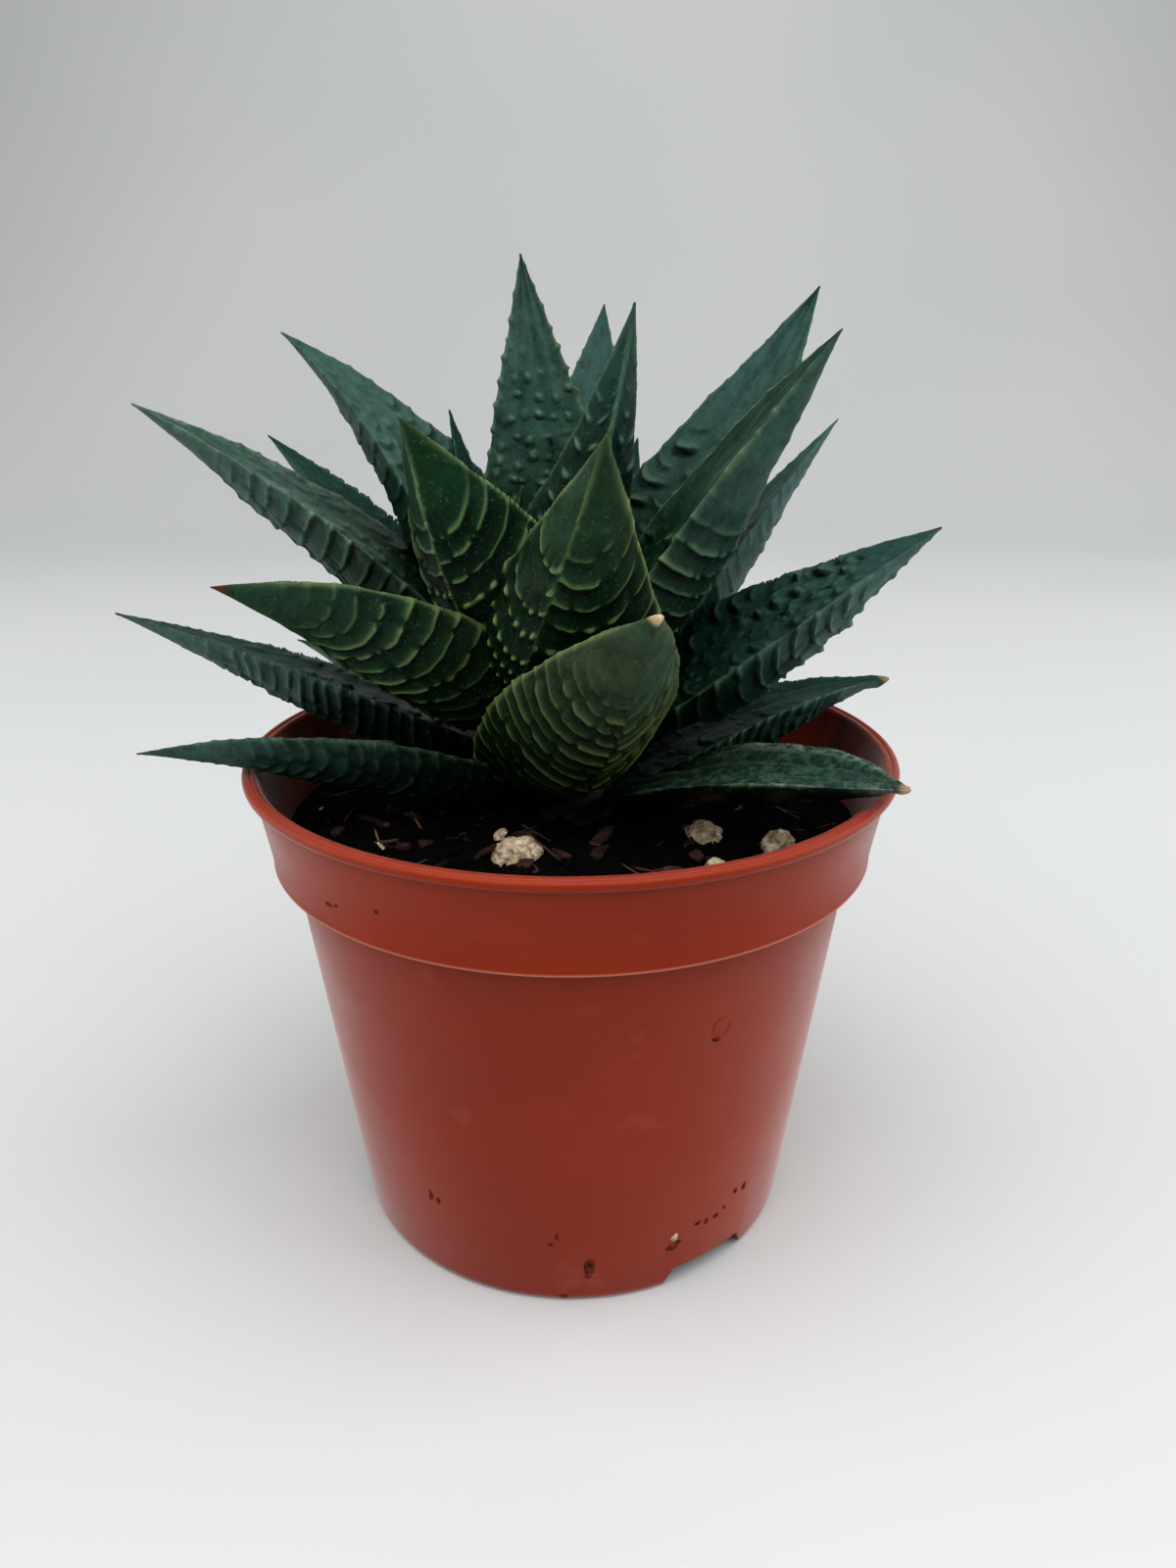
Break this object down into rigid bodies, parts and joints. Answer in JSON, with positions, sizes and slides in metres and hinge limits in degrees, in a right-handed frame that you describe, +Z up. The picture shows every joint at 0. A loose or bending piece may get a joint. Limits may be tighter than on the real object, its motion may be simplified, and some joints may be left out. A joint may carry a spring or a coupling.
{
  "type": "potted haworthia",
  "caption": "Small succulent with stiff, keeled, cross-ridged dark green leaves in a loose rosette, growing in soil in a round tapered plastic nursery pot.",
  "frame": {"origin": "on the pot's axis, in the plane of the pot's underside, where it stands", "axes": "+Z up along the pot's axis; -Y is the front that the picture shows; +X is to its right"},
  "size_m": [0.1068, 0.0986, 0.1261],
  "materials": {
    "pot_plastic": "satin",
    "potting_soil": "matte",
    "stem_flesh": "matte",
    "leaf_skin": "satin",
    "perlite": "matte",
    "bark": "matte"
  },
  "bodies": {
    "root": {"bark_flake_back": "bark", "bark_flake_front": "bark", "leaf_back_high": "leaf_skin", "leaf_back_left_high": "leaf_skin", "leaf_back_left_low": "leaf_skin", "leaf_back_left_mid": "leaf_skin", "leaf_back_low": "leaf_skin", "leaf_back_mid": "leaf_skin", "leaf_back_right_mid": "leaf_skin", "leaf_centre_high": "leaf_skin", "leaf_front_low": "leaf_skin", "leaf_front_mid": "leaf_skin", "leaf_heart_left": "leaf_skin", "leaf_heart_right": "leaf_skin", "leaf_left_back_low": "leaf_skin", "leaf_left_back_mid": "leaf_skin", "leaf_left_drooping": "leaf_skin", "leaf_left_front_low": "leaf_skin", "leaf_left_front_mid": "leaf_skin", "leaf_left_high": "leaf_skin", "leaf_left_low": "leaf_skin", "leaf_left_mid": "leaf_skin", "leaf_right_back_low": "leaf_skin", "leaf_right_back_mid": "leaf_skin", "leaf_right_blunt": "leaf_skin", "leaf_right_drooping": "leaf_skin", "leaf_right_high": "leaf_skin", "leaf_right_low": "leaf_skin", "leaf_right_mid": "leaf_skin", "leaf_sliver": "leaf_skin", "perlite_back": "perlite", "perlite_front": "perlite", "perlite_hooked": "perlite", "perlite_large": "perlite", "perlite_small_left": "perlite", "perlite_small_right": "perlite", "perlite_square": "perlite", "pot": "pot_plastic", "soil": "potting_soil", "stem": "stem_flesh"}
  },
  "joints": []
}
